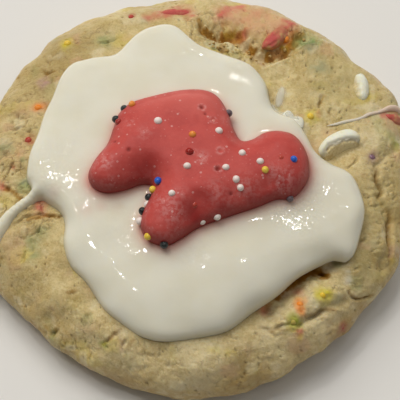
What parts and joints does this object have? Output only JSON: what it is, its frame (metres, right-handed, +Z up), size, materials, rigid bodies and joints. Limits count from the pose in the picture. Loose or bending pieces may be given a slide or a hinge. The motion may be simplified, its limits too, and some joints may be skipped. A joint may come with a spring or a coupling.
{
  "type": "frosted animal cookie",
  "caption": "Round sugar cookie with baked-in sprinkles and white chips, a pool of white icing running over its rim, and a small pink iced animal cookie with sprinkles set in the icing.",
  "frame": {"origin": "middle of the flat underside of the sugar cookie, at the centre of its outline", "axes": "+Z up through the cookie, +X towards the head of the small animal cookie, +Y away from the side the picture was taken from"},
  "size_m": [0.0792, 0.0799, 0.0213],
  "materials": {
    "dough": "matte golden baked dough with fine crumb",
    "icing": "glossy warm white set icing",
    "pink_coating": "satin pink icing with pale scuffs",
    "white_chip": "smooth ivory chip",
    "pink_candy": "dull pink candy baked into the dough"
  },
  "bodies": {
    "root": {"cookie_base": "dough", "icing_pool": "icing", "animal_cookie": "pink_coating", "white_chip_upper": "white_chip", "white_chip_lower": "white_chip", "pink_candy_crater": "pink_candy", "pink_candy_far": "pink_candy", "pink_candy_right": "pink_candy"}
  },
  "joints": []
}
